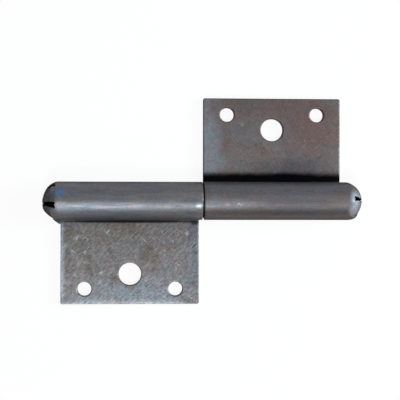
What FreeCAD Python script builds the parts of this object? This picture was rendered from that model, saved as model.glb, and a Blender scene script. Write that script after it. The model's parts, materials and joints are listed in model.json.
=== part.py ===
import FreeCAD, Part
import os
from math import asin, atan2, cos, pi, sin

import Sketcher
from FreeCAD import Placement, Rotation, Vector

# Lift-off flag hinge of rolled sheet steel, lying open flat on its two leaves.
# The pin axis runs along X. Z is 0 on the mounting side of both leaves, and the
# origin lies on that plane, straight below the middle of the pin axis.
#
# Each leaf is drawn in its own frame: X runs along the pin axis from the knuckle's
# running face to the domed end, Y from the pin axis to the leaf's outer edge, and
# the leaf lies on the underside of the barrel.

SIZES = [
    ("sheet_thickness", 2.5, "sheet of both leaves"),
    ("pin_diameter", 8.0, "running half of the pin"),
    ("running_clearance", 0.05, "radial play of a knuckle bore on the running half"),
    ("knuckle_length", 54.75, "running face to the top of the dome"),
    ("root_tail", 2.0, "flat strip that the roll keeps beside the leaf"),
    ("seam_gap", 0.25, "free edge of the roll above the leaf"),
    ("knuckle_chamfer", 0.3, "broken edge of the running face"),
    ("dome_height", 5.4, "dome along the pin axis"),
    ("dome_shoulder", 3.7, "radius where the barrel turns into the dome"),
    ("petal_tip_radius", 0.8, "opening that the petal tips leave"),
    ("petal_count", 5, "petals that close the dome"),
    ("notch_tip_width", 0.6, "notch at the top of the dome"),
    ("fixed_notch_depth", 4.8, "foot of a notch to the top of the fixed leaf's dome"),
    ("lift_off_notch_depth", 2.8, "foot of a notch to the top of the lift-off leaf's dome"),
    ("fixed_notch_foot_width", 2.3, "notch of the fixed leaf at its foot"),
    ("lift_off_notch_foot_width", 1.8, "notch of the lift-off leaf at its foot"),
    ("fixed_notch_turn", 13.6, "fixed leaf's first notch, degrees from straight up to the leaf"),
    ("lift_off_notch_turn", 9.1, "lift-off leaf's first notch, degrees as before"),
    ("leaf_length", 47.9, "leaf along the pin axis"),
    ("leaf_reach", 35.8, "pin axis to the outer edge"),
    ("corner_radius", 0.6, "outer corners of the leaf"),
    ("edge_roll", 0.4, "rounding that shearing leaves on the upper edges of the outline"),
    ("rim_chamfer", 0.35, "slope that punching leaves on the upper rims of the holes"),
    ("fixed_setback", 0.95, "running face to the fixed leaf"),
    ("lift_off_setback", 0.1, "running face to the lift-off leaf"),
    ("web_length", 2.6, "web under the dome, past the end of the fixed leaf"),
    ("web_reach", 8.1, "pin axis to the web's outer corner"),
    ("web_tip_reach", 6.5, "pin axis to the web's tip corner"),
    ("screw_hole_diameter", 4.9, "pair of screw holes"),
    ("screw_hole_spacing", 31.5, "between the two screw holes"),
    ("fixed_screw_margin", 5.25, "screw holes to the fixed leaf's outer edge"),
    ("lift_off_screw_margin", 5.7, "screw holes to the lift-off leaf's outer edge"),
    ("middle_hole_diameter", 7.8, "single hole in the middle"),
    ("fixed_middle_margin", 10.4, "middle hole to the fixed leaf's outer edge"),
    ("lift_off_middle_margin", 10.95, "middle hole to the lift-off leaf's outer edge"),
    ("washer_thickness", 0.5, "washer between the running faces"),
    ("washer_play", 0.1, "radial play of the washer on the pin"),
    ("washer_rim", 1.7, "washer from its hole to its outer edge"),
    ("pin_grip_length", 46.0, "pin inside the fixed knuckle"),
    ("pin_engagement", 42.0, "pin inside the lift-off knuckle"),
    ("pin_lead", 1.2, "chamfer of the free end of the pin"),
    ("pin_foot_chamfer", 0.6, "chamfer of the gripped end of the pin"),
]

BORE_RADIUS = "(Sizes.pin_diameter / 2 + Sizes.running_clearance)"
BARREL_RADIUS = f"({BORE_RADIUS} + Sizes.sheet_thickness)"
DOME_BASE = "(Sizes.knuckle_length - Sizes.dome_height)"
CROWN_RADIUS = (
    f"((Sizes.dome_height^2 + {BARREL_RADIUS}^2 - 2 * {BARREL_RADIUS} * Sizes.dome_shoulder)"
    " / (2 * (Sizes.dome_height - Sizes.dome_shoulder)))"
)
HALF_WASHER = "Sizes.washer_thickness / 2"

# A sketch numbers its axes from -1 down and the points of an edge from 1 up.
Y_AXIS, X_AXIS = range(-2, 0)
START, END, CENTRE = range(1, 4)
ORIGIN = (X_AXIS, START)
TOLERANCE = 1e-4

doc = FreeCAD.newDocument("WindowHinge")


def make_sheet():
    """Write each driving size into the spreadsheet as a plain number with its alias."""
    sheet = doc.addObject("Spreadsheet::Sheet", "Sizes")
    for row, (alias, value, meaning) in enumerate(SIZES, start=1):
        sheet.set(f"A{row}", alias)
        sheet.set(f"B{row}", str(value))
        sheet.set(f"C{row}", meaning)
        sheet.setAlias(f"B{row}", alias)
    doc.recompute()
    return sheet


sizes = make_sheet()


def value_of(formula):
    """Number that a formula of the spreadsheet gives now, in millimetres."""
    return float(sizes.evalExpression(formula))


def new_body(label):
    """Empty body whose label names its file."""
    body = doc.addObject("PartDesign::Body", label)
    body.Label = label
    return body


def new_sketch(body, name, role, height=None):
    """Sketch on one of the body's own origin planes, raised by a bound height."""
    plane = next(item for item in body.Origin.OriginFeatures if item.Role == role)
    sketch = body.newObject("Sketcher::SketchObject", name)
    sketch.AttachmentSupport = [(plane, "")]
    sketch.MapMode = "FlatFace"
    if height:
        sketch.setExpression("AttachmentOffset.Base.z", height)
    return sketch


def join(sketch, *pairs):
    """Make pairs of sketch points coincide."""
    for first, second in pairs:
        sketch.addConstraint(Sketcher.Constraint("Coincident", *first, *second))


def measure(sketch, name, kind, *items, size):
    """Add a named dimension to the sketch and bind it to a formula."""
    index = sketch.addConstraint(Sketcher.Constraint(kind, *items, value_of(size)))
    sketch.renameConstraint(index, name)
    sketch.setExpression(f"Constraints.{name}", size)


def add_polygon(sketch, corners):
    """Closed outline of straight lines through corners, each a pair of bound formulas."""
    points = [Vector(value_of(x), value_of(y), 0) for x, y in corners]
    count = len(points)
    for number, point in enumerate(points):
        sketch.addGeometry(Part.LineSegment(point, points[(number + 1) % count]))
    for number, (x, y) in enumerate(corners):
        join(sketch, ((number, END), ((number + 1) % count, START)))
        for axis, kind, size in ((X_AXIS, "DistanceX", x), (Y_AXIS, "DistanceY", y)):
            place_point(sketch, number, START, axis, kind, f"corner{number}{kind[-1]}", size)


def place_point(sketch, edge, end, axis, kind, name, size):
    """Hold one coordinate of a sketch point, on an axis where its size is 0."""
    if abs(value_of(size)) < TOLERANCE:
        across = Y_AXIS if axis == X_AXIS else X_AXIS
        sketch.addConstraint(Sketcher.Constraint("PointOnObject", edge, end, across))
    else:
        measure(sketch, name, kind, *ORIGIN, edge, end, size=size)


def add_circle(sketch, name, radius, x=None, y=None):
    """Circle of a bound radius, at the origin or at bound coordinates."""
    centre = Vector(value_of(x) if x else 0, value_of(y) if y else 0, 0)
    circle = sketch.addGeometry(Part.Circle(centre, Vector(0, 0, 1), value_of(radius)))
    measure(sketch, f"{name}Radius", "Radius", circle, size=radius)
    if not x and not y:
        join(sketch, ((circle, CENTRE), ORIGIN))
        return
    place_point(sketch, circle, CENTRE, X_AXIS, "DistanceX", f"{name}X", x)
    place_point(sketch, circle, CENTRE, Y_AXIS, "DistanceY", f"{name}Y", y)


def pad(body, sketch, name, length, reverse=False):
    """Pad of a bound length, towards the sketch's normal unless reversed."""
    feature = body.newObject("PartDesign::Pad", name)
    feature.Profile = sketch
    feature.setExpression("Length", length)
    feature.Reversed = reverse
    doc.recompute()
    return feature


def cut_volume(body, feature, before):
    """Stop the build if a cut took nothing away."""
    doc.recompute()
    if not body.Shape.Volume < before - TOLERANCE:
        raise RuntimeError(f"{feature.Label} cuts nothing")


def edges_where(feature, test):
    """Names of the edges of a feature's shape that pass a test."""
    edges = feature.Shape.Edges
    return [f"Edge{number}" for number, edge in enumerate(edges, start=1) if test(edge)]


def dress(body, kind, name, base, test, prop, size):
    """Fillet or chamfer on the edges of the base feature that pass a test."""
    names = edges_where(base, test)
    if not names:
        raise RuntimeError(f"{name} finds no edge")
    feature = body.newObject(f"PartDesign::{kind}", name)
    feature.Base = (base, names)
    feature.setExpression(prop, size)
    doc.recompute()
    return feature


def draw_roll(body):
    """Section of the rolled sheet: a ring from the seam round to its flat tail."""
    barrel = value_of(BARREL_RADIUS)
    bore = value_of(BORE_RADIUS)
    seam = -asin((bore - value_of("Sizes.seam_gap")) / barrel)
    tail = value_of("Sizes.root_tail")
    outer_edge = Vector(barrel * cos(seam), barrel * sin(seam), 0)
    inner_edge = Vector(bore * cos(seam), bore * sin(seam), 0)
    bottom = 1.5 * pi
    sketch = new_sketch(body, f"{body.Name}RollSection", "YZ_Plane")
    for radius in (barrel, bore):
        circle = Part.Circle(Vector(0, 0, 0), Vector(0, 0, 1), radius)
        sketch.addGeometry(Part.ArcOfCircle(circle, seam, bottom))
    sketch.addGeometry(Part.LineSegment(outer_edge, inner_edge))
    sketch.addGeometry(Part.LineSegment(Vector(0, -bore, 0), Vector(tail, -bore, 0)))
    sketch.addGeometry(Part.LineSegment(Vector(tail, -bore, 0), Vector(tail, -barrel, 0)))
    sketch.addGeometry(Part.LineSegment(Vector(tail, -barrel, 0), Vector(0, -barrel, 0)))
    outer, inner, seam_face, upper, end, lower = range(6)
    join(sketch, ((outer, CENTRE), ORIGIN), ((inner, CENTRE), ORIGIN))
    join(sketch, ((outer, START), (seam_face, START)), ((seam_face, END), (inner, START)))
    join(sketch, ((inner, END), (upper, START)), ((upper, END), (end, START)))
    join(sketch, ((end, END), (lower, START)), ((lower, END), (outer, END)))
    for arc in (outer, inner):
        sketch.addConstraint(Sketcher.Constraint("PointOnObject", arc, END, Y_AXIS))
    sketch.addConstraint(Sketcher.Constraint("PointOnObject", *ORIGIN, seam_face))
    sketch.addConstraint(Sketcher.Constraint("Horizontal", upper))
    sketch.addConstraint(Sketcher.Constraint("Horizontal", lower))
    sketch.addConstraint(Sketcher.Constraint("Vertical", end))
    measure(sketch, "barrel", "Radius", outer, size=BARREL_RADIUS)
    measure(sketch, "bore", "Radius", inner, size=BORE_RADIUS)
    measure(sketch, "tail", "DistanceX", upper, START, upper, END, size="Sizes.root_tail")
    measure(sketch, "seam", "DistanceY", inner, END, outer, START, size="Sizes.seam_gap")
    return sketch


def draw_dome(body):
    """Half section of the dome: a shoulder and a crown of even sheet thickness."""
    barrel = value_of(BARREL_RADIUS)
    shoulder = value_of("Sizes.dome_shoulder")
    crown = value_of(CROWN_RADIUS)
    sheet = value_of("Sizes.sheet_thickness")
    tip = value_of("Sizes.petal_tip_radius")
    base = value_of(DOME_BASE)
    shoulder_centre = Vector(base, barrel - shoulder, 0)
    crown_centre = Vector(value_of("Sizes.knuckle_length") - crown, 0, 0)
    turn = atan2(shoulder_centre.y, shoulder_centre.x - crown_centre.x)
    tip_turn = asin(tip / crown)
    up = Vector(0, 0, 1)
    sketch = new_sketch(body, f"{body.Name}DomeSection", "XY_Plane")
    for inset in (0, sheet):
        circle = Part.Circle(shoulder_centre, up, shoulder - inset)
        sketch.addGeometry(Part.ArcOfCircle(circle, turn, pi / 2))
        circle = Part.Circle(crown_centre, up, crown - inset)
        sketch.addGeometry(Part.ArcOfCircle(circle, tip_turn, turn))
    ray = Vector(cos(tip_turn), sin(tip_turn), 0)
    foot = Vector(base, barrel - sheet, 0)
    sketch.addGeometry(Part.LineSegment(Vector(base, barrel, 0), foot))
    sketch.addGeometry(
        Part.LineSegment(crown_centre + ray * (crown - sheet), crown_centre + ray * crown)
    )
    outer_shoulder, outer_crown, inner_shoulder, inner_crown, base_line, tip_line = range(6)
    for shoulder_arc, crown_arc in ((outer_shoulder, outer_crown), (inner_shoulder, inner_crown)):
        sketch.addConstraint(
            Sketcher.Constraint("Tangent", shoulder_arc, START, crown_arc, END)
        )
    join(sketch, ((outer_shoulder, CENTRE), (inner_shoulder, CENTRE)))
    join(sketch, ((outer_shoulder, END), (base_line, START)))
    join(sketch, ((inner_shoulder, END), (base_line, END)))
    join(sketch, ((inner_crown, START), (tip_line, START)))
    join(sketch, ((outer_crown, START), (tip_line, END)))
    sketch.addConstraint(Sketcher.Constraint("Vertical", base_line))
    sketch.addConstraint(Sketcher.Constraint("PointOnObject", outer_crown, CENTRE, X_AXIS))
    sketch.addConstraint(Sketcher.Constraint("PointOnObject", outer_crown, CENTRE, tip_line))
    measure(sketch, "base", "DistanceX", *ORIGIN, outer_shoulder, CENTRE, size=DOME_BASE)
    measure(sketch, "barrel", "DistanceY", *ORIGIN, outer_shoulder, END, size=BARREL_RADIUS)
    measure(sketch, "bore", "DistanceY", *ORIGIN, inner_shoulder, END, size=BORE_RADIUS)
    measure(sketch, "shoulder", "Radius", outer_shoulder, size="Sizes.dome_shoulder")
    measure(sketch, "crown", "Radius", outer_crown, size=CROWN_RADIUS)
    measure(
        sketch, "tip", "DistanceY", *ORIGIN, outer_crown, START, size="Sizes.petal_tip_radius"
    )
    return sketch


def add_dome(body, side):
    """Close the barrel's end with a dome and part it into petals by a ring of notches."""
    section = draw_dome(body)
    dome = body.newObject("PartDesign::Revolution", f"{body.Name}Dome")
    dome.Profile = section
    dome.ReferenceAxis = (section, ["H_Axis"])
    dome.Angle = 360
    doc.recompute()
    before = body.Shape.Volume

    foot = f"(Sizes.knuckle_length - Sizes.{side}_notch_depth)"
    top = "Sizes.knuckle_length"
    half_foot = f"Sizes.{side}_notch_foot_width / 2"
    half_tip = "Sizes.notch_tip_width / 2"
    outline = new_sketch(body, f"{body.Name}NotchOutline", "XY_Plane")
    turn = f"Sizes.{side}_notch_turn"
    outline.AttachmentOffset = Placement(Vector(0, 0, 0), Rotation(Vector(-1, 0, 0), value_of(turn)))
    outline.setExpression("AttachmentOffset.Rotation.Angle", turn)
    corners = [
        (foot, f"-{half_foot}"),
        (top, f"-{half_tip}"),
        (top, half_tip),
        (foot, half_foot),
    ]
    add_polygon(outline, corners)
    notch = body.newObject("PartDesign::Pocket", f"{body.Name}Notch")
    notch.Profile = outline
    notch.Reversed = True
    notch.setExpression("Length", f"{BARREL_RADIUS} + Sizes.sheet_thickness")
    cut_volume(body, notch, before)

    ring = body.newObject("PartDesign::PolarPattern", f"{body.Name}Notches")
    ring.Originals = [notch]
    ring.Axis = (outline, ["H_Axis"])
    ring.Angle = 360
    ring.setExpression("Occurrences", "Sizes.petal_count")
    body.Tip = ring
    doc.recompute()
    return ring


def add_leaf_plate(body, side):
    """Flat leaf under the barrel, with its outer corners and punched holes."""
    setback = f"Sizes.{side}_setback"
    underside = f"-{BARREL_RADIUS}"
    plate = new_sketch(body, f"{body.Name}LeafOutline", "XY_Plane", underside)
    far_end = f"({setback} + Sizes.leaf_length)"
    corners = [
        (setback, "0"),
        (far_end, "0"),
        (far_end, "Sizes.leaf_reach"),
        (setback, "Sizes.leaf_reach"),
    ]
    add_polygon(plate, corners)
    leaf = pad(body, plate, f"{body.Name}Leaf", "Sizes.sheet_thickness")

    reach = value_of("Sizes.leaf_reach")

    def is_outer_corner(edge):
        upright = abs(edge.tangentAt(edge.FirstParameter).z) > 0.99
        return upright and abs(edge.CenterOfMass.y - reach) < TOLERANCE

    corner = dress(
        body, "Fillet", f"{body.Name}Corners", leaf, is_outer_corner, "Radius",
        "Sizes.corner_radius",
    )

    before = corner.Shape.Volume
    top = f"-{BORE_RADIUS}"
    drawing = new_sketch(body, f"{body.Name}HolePattern", "XY_Plane", top)
    middle = f"({setback} + Sizes.leaf_length / 2)"
    screw_line = f"(Sizes.leaf_reach - Sizes.{side}_screw_margin)"
    middle_line = f"(Sizes.leaf_reach - Sizes.{side}_middle_margin)"
    screw_radius = "Sizes.screw_hole_diameter / 2"
    half_spacing = "Sizes.screw_hole_spacing / 2"
    add_circle(drawing, "near", screw_radius, f"({middle} - {half_spacing})", screw_line)
    add_circle(drawing, "far", screw_radius, f"({middle} + {half_spacing})", screw_line)
    add_circle(drawing, "middle", "Sizes.middle_hole_diameter / 2", middle, middle_line)
    holes = body.newObject("PartDesign::Pocket", f"{body.Name}Holes")
    holes.Profile = drawing
    holes.setExpression("Length", "Sizes.sheet_thickness * 2")
    cut_volume(body, holes, before)

    top_level = -value_of(BORE_RADIUS)
    barrel = value_of(BARREL_RADIUS)

    def is_upper_edge(edge):
        box = edge.BoundBox
        level = abs(box.ZMin - top_level) < TOLERANCE and abs(box.ZMax - top_level) < TOLERANCE
        return level and edge.CenterOfMass.y > barrel

    def is_rim(edge):
        return is_upper_edge(edge) and edge.isClosed()

    def is_outline(edge):
        return is_upper_edge(edge) and not edge.isClosed()

    rims = dress(
        body, "Chamfer", f"{body.Name}Rims", holes, is_rim, "Size", "Sizes.rim_chamfer"
    )
    return dress(
        body, "Fillet", f"{body.Name}EdgeRoll", rims, is_outline, "Radius", "Sizes.edge_roll"
    )


def add_root_web(body, side):
    """Corner of sheet that runs on under the dome, past the end of the leaf."""
    outline = new_sketch(body, f"{body.Name}WebOutline", "XY_Plane", f"-{BARREL_RADIUS}")
    leaf_end = f"(Sizes.{side}_setback + Sizes.leaf_length)"
    overlap = f"({leaf_end} - Sizes.sheet_thickness)"
    tip = f"({leaf_end} + Sizes.web_length)"
    corners = [
        (overlap, "Sizes.root_tail / 2"),
        (tip, "Sizes.root_tail / 2"),
        (tip, "Sizes.web_tip_reach"),
        (leaf_end, "Sizes.web_reach"),
        (overlap, "Sizes.web_reach"),
    ]
    add_polygon(outline, corners)
    return pad(body, outline, f"{body.Name}Web", "Sizes.sheet_thickness")


def build_leaf(side):
    """One side's stamping: roll the barrel, dome and notch its end, add the punched leaf."""
    label = f"{side}_leaf"
    body = new_body(label)
    roll = pad(body, draw_roll(body), f"{label}Roll", DOME_BASE)
    barrel = value_of(BARREL_RADIUS)

    def is_running_edge(edge):
        box = edge.BoundBox
        at_face = abs(box.XMin) < TOLERANCE and abs(box.XMax) < TOLERANCE
        return at_face and abs(box.ZMax - barrel) < TOLERANCE

    dress(
        body, "Chamfer", f"{label}RunningEdge", roll, is_running_edge, "Size",
        "Sizes.knuckle_chamfer",
    )
    add_dome(body, side)
    add_leaf_plate(body, side)
    return body


def build_fixed_leaf():
    """Leaf that carries the pin, turned to the other side of the pin axis."""
    body = build_leaf("fixed")
    add_root_web(body, "fixed")
    body.Placement = Placement(Vector(0, 0, 0), Rotation(Vector(0, 0, 1), 180))
    body.setExpression("Placement.Base.x", f"-{HALF_WASHER}")
    body.setExpression("Placement.Base.z", BARREL_RADIUS)
    return body


def build_lift_off_leaf():
    """Leaf that turns on the pin and lifts off along it."""
    body = build_leaf("lift_off")
    body.setExpression("Placement.Base.x", HALF_WASHER)
    body.setExpression("Placement.Base.z", BARREL_RADIUS)
    return body


def build_pin():
    """Pin with a gripped half that fills the fixed bore and a thinner running half."""
    body = new_body("pin")
    grip_circle = new_sketch(body, "PinGripCircle", "YZ_Plane")
    add_circle(grip_circle, "grip", BORE_RADIUS)
    pad(body, grip_circle, "PinGrip", "Sizes.pin_grip_length", reverse=True)
    running_circle = new_sketch(body, "PinRunningCircle", "YZ_Plane")
    add_circle(running_circle, "running", "Sizes.pin_diameter / 2")
    running_length = "Sizes.washer_thickness + Sizes.pin_engagement"
    running = pad(body, running_circle, "PinRunning", running_length)
    foot = -value_of("Sizes.pin_grip_length")
    free = value_of(running_length)
    lead = dress(
        body, "Chamfer", "PinLead", running, lambda edge: abs(edge.BoundBox.XMin - free) < TOLERANCE,
        "Size", "Sizes.pin_lead",
    )
    dress(
        body, "Chamfer", "PinFoot", lead, lambda edge: abs(edge.BoundBox.XMax - foot) < TOLERANCE,
        "Size", "Sizes.pin_foot_chamfer",
    )
    body.setExpression("Placement.Base.x", f"-{HALF_WASHER}")
    body.setExpression("Placement.Base.z", BARREL_RADIUS)
    return body


def build_thrust_washer():
    """Flat washer that keeps the two running faces apart."""
    body = new_body("thrust_washer")
    rings = new_sketch(body, "WasherRings", "YZ_Plane")
    hole_radius = "(Sizes.pin_diameter / 2 + Sizes.washer_play)"
    add_circle(rings, "inner", hole_radius)
    add_circle(rings, "outer", f"{hole_radius} + Sizes.washer_rim")
    pad(body, rings, "Washer", "Sizes.washer_thickness")
    body.setExpression("Placement.Base.x", f"-{HALF_WASHER}")
    body.setExpression("Placement.Base.z", BARREL_RADIUS)
    return body


def check_document():
    """Stop if any object of the document failed."""
    for item in doc.Objects:
        if "Invalid" in item.State or "Error" in item.State:
            raise RuntimeError(f"{item.Label} failed: {item.State}")


def export(bodies):
    """Write one file for each sub-part, named after its label."""
    os.makedirs("parts", exist_ok=True)
    for body in bodies:
        shape = body.Shape
        if shape.isNull() or not shape.isValid():
            raise RuntimeError(f"{body.Label} has no valid shape")
        shape.exportStep(f"parts/{body.Label}.step")
        box = shape.BoundBox
        print(
            f"{body.Label}: {len(shape.Solids)} solid, volume {shape.Volume:.1f},"
            f" X {box.XMin:.2f} to {box.XMax:.2f}, Y {box.YMin:.2f} to {box.YMax:.2f},"
            f" Z {box.ZMin:.2f} to {box.ZMax:.2f}"
        )


pieces = [build_fixed_leaf(), build_lift_off_leaf(), build_pin(), build_thrust_washer()]
doc.recompute()
check_document()
export(pieces)
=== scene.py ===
"""Looks of a lift-off window hinge of rolled sheet steel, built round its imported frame.

Each leaf is modelled as it is made: a flat strip is drawn out to the leaf, its edge is
rolled into the knuckle, five petals close the outer end to a dome, and the sheet gets
its thickness before the holes are punched and the edges rounded. Lengths in the classes
are in millimetres; the meshes are in metres, in the frame's own axes.
"""

import json
import logging
import math
from collections.abc import Callable, Iterable
from dataclasses import dataclass
from enum import Enum
from functools import cached_property

import bmesh
import bpy
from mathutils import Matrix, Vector

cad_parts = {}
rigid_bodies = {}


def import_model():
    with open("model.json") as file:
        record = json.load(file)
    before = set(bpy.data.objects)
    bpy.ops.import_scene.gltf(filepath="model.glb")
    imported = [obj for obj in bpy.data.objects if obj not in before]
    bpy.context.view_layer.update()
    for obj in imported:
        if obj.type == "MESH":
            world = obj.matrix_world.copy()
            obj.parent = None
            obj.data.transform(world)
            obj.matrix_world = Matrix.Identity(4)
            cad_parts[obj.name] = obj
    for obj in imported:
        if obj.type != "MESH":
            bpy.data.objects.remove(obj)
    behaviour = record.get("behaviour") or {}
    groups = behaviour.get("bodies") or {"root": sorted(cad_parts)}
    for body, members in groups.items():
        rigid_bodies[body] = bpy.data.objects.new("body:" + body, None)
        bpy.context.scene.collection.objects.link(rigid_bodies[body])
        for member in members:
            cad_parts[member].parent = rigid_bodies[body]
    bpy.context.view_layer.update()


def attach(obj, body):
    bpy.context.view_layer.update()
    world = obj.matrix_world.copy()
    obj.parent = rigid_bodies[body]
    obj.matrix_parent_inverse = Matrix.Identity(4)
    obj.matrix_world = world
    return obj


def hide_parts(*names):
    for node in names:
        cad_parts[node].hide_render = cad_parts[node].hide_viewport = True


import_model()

LOG = logging.getLogger("window_hinge")
MM = 0.001
NEAR = 0.003 * MM  # places closer than this are one place
SLIVER = 0.012 * MM  # strips narrower than this are merged away
PIN_HEIGHT = 6.55  # pin axis above the leaves' mounting sides
HALF_GAP = 0.25  # from the hinge's middle to either running face
TURNED_SIDES = 96  # facets round the pin and the washer

Triple = tuple[float, float, float]
Piece = bpy.types.Object
Socket = bpy.types.NodeSocket


class Half(Enum):
    """The two halves of the hinge, each with its stamping's turn about +Z in degrees."""

    FIXED = 180.0
    LIFT_OFF = 0.0


class Pick(Enum):
    """What a selection picks in edit mode."""

    VERTICES = "VERT"
    EDGES = "EDGE"
    FACES = "FACE"


def activate(piece: Piece) -> None:
    """Select one object alone and make it the active one."""
    for item in bpy.context.view_layer.objects:
        item.select_set(False)
    piece.select_set(True)
    bpy.context.view_layer.objects.active = piece


def open_mesh(piece: Piece) -> None:
    """Enter edit mode on a piece with nothing selected."""
    activate(piece)
    bpy.ops.object.mode_set(mode="EDIT")
    bpy.ops.mesh.select_mode(type="VERT")
    bpy.ops.mesh.select_all(action="DESELECT")


def close_mesh() -> None:
    """Return to object mode."""
    bpy.ops.object.mode_set(mode="OBJECT")


def select(pick: Pick, test: Callable[[object], bool]) -> int:
    """Select the vertices, edges or faces of the open mesh that pass a test.

    Args:
        pick: Kind of element to select.
        test: Takes a bmesh element and says whether it is wanted.

    Returns:
        How many elements were selected.
    """
    bpy.ops.mesh.select_all(action="DESELECT")
    bpy.ops.mesh.select_mode(type=pick.value)
    data = bpy.context.edit_object.data
    mesh = bmesh.from_edit_mesh(data)
    elements = {Pick.VERTICES: mesh.verts, Pick.EDGES: mesh.edges, Pick.FACES: mesh.faces}
    wanted = [element for element in elements[pick] if test(element)]
    for element in wanted:
        element.select_set(True)
    mesh.select_flush_mode()
    bmesh.update_edit_mesh(data)
    return len(wanted)


def middle_of(element: object) -> Vector:
    """Middle of a bmesh edge or face."""
    points = [vertex.co for vertex in element.verts]
    return sum(points, Vector()) / len(points)


def lies_at(edge: object, axis: str, place: float) -> bool:
    """Whether both ends of an edge lie at one place along an axis, in metres."""
    return all(abs(getattr(vertex.co, axis) - place) < NEAR for vertex in edge.verts)


def is_sharp(edge: object, degrees: float = 40.0) -> bool:
    """Whether two faces meet at an edge with more than an angle between them."""
    return len(edge.link_faces) == 2 and edge.calc_face_angle() > math.radians(degrees)


def has_open_side(face: object) -> bool:
    """Whether a face has a side that no other face shares."""
    return any(edge.is_boundary for edge in face.edges)


def settle(piece: Piece) -> None:
    """Move a piece's place, turn and size into its mesh."""
    activate(piece)
    bpy.ops.object.transform_apply(location=True, rotation=True, scale=True)


def apply_modifier(piece: Piece, kind: str, **settings: object) -> None:
    """Add one modifier to a piece and apply it.

    Args:
        piece: Object that gets the modifier.
        kind: Blender's name for the modifier.
        **settings: Values for the modifier's properties.
    """
    activate(piece)
    modifier = piece.modifiers.new(kind.title(), kind)
    for name, value in settings.items():
        setattr(modifier, name, value)
    bpy.ops.object.modifier_apply(modifier=modifier.name)


def cut_out(piece: Piece, tool: Piece) -> None:
    """Cut a closed tool out of a piece and delete the tool."""
    apply_modifier(piece, "BOOLEAN", object=tool, operation="DIFFERENCE", solver="EXACT")
    bpy.data.objects.remove(tool)


def merge_doubles(distance: float = NEAR) -> None:
    """Merge the doubles of the open mesh."""
    bpy.ops.mesh.select_all(action="SELECT")
    bpy.ops.mesh.remove_doubles(threshold=distance)


def extrude(x: float = 0.0, y: float = 0.0) -> None:
    """Extrude what is selected in the open mesh, by distances in metres."""
    bpy.ops.mesh.extrude_region_move(TRANSFORM_OT_translate={"value": (x, y, 0)})


def slice_across(place: Triple, normal: Triple) -> None:
    """Slice the whole open mesh along a plane and keep both sides."""
    bpy.ops.mesh.select_all(action="SELECT")
    bpy.ops.mesh.bisect(plane_co=place, plane_no=normal)


def round_off(radius: float, segments: int, clamp: bool = False, profile: float = 0.5) -> None:
    """Round the selected edges of the open mesh.

    Args:
        radius: Width of the rounding in millimetres.
        segments: Faces across the rounding.
        clamp: Whether it gets narrower where there is no room for it.
        profile: Shape of the rounding, 0.5 for an arc.
    """
    bpy.ops.mesh.bevel(
        offset=radius * MM, segments=segments, affect="EDGES", clamp_overlap=clamp,
        profile=profile,
    )


def drag(x: float, y: float, reach: float, joined: bool) -> None:
    """Move what is selected in the open mesh, and what lies round it follows.

    Args:
        x: Distance along X, like the other lengths in millimetres.
        y: Distance along Y.
        reach: How far round the selection the mesh follows.
        joined: Whether only what is joined to the selection follows.
    """
    bpy.ops.transform.translate(
        value=(x * MM, y * MM, 0), use_proportional_edit=True, proportional_size=reach * MM,
        proportional_edit_falloff="SMOOTH", use_proportional_connected=joined,
    )


def take_new(name: str) -> Piece:
    """Name the object that was just added, settle it and return it."""
    piece = bpy.context.object
    piece.name = name
    piece.data.name = name
    settle(piece)
    return piece


def soften(piece: Piece, degrees: float = 38.0) -> None:
    """Shade a piece smooth up to an angle, and the faces that lie square on flat.

    Args:
        piece: Object in object mode.
        degrees: Edges above this angle stay sharp.
    """
    square = 0.99999  # least part of a face's normal along one axis
    activate(piece)
    bpy.ops.object.shade_smooth_by_angle(angle=math.radians(degrees))
    open_mesh(piece)
    select(Pick.FACES, lambda face: max(abs(part) for part in face.normal) > square)
    bpy.ops.mesh.faces_shade_flat()
    close_mesh()
    apply_modifier(piece, "WEIGHTED_NORMAL", mode="FACE_AREA", weight=60, keep_sharp=True)


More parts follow.
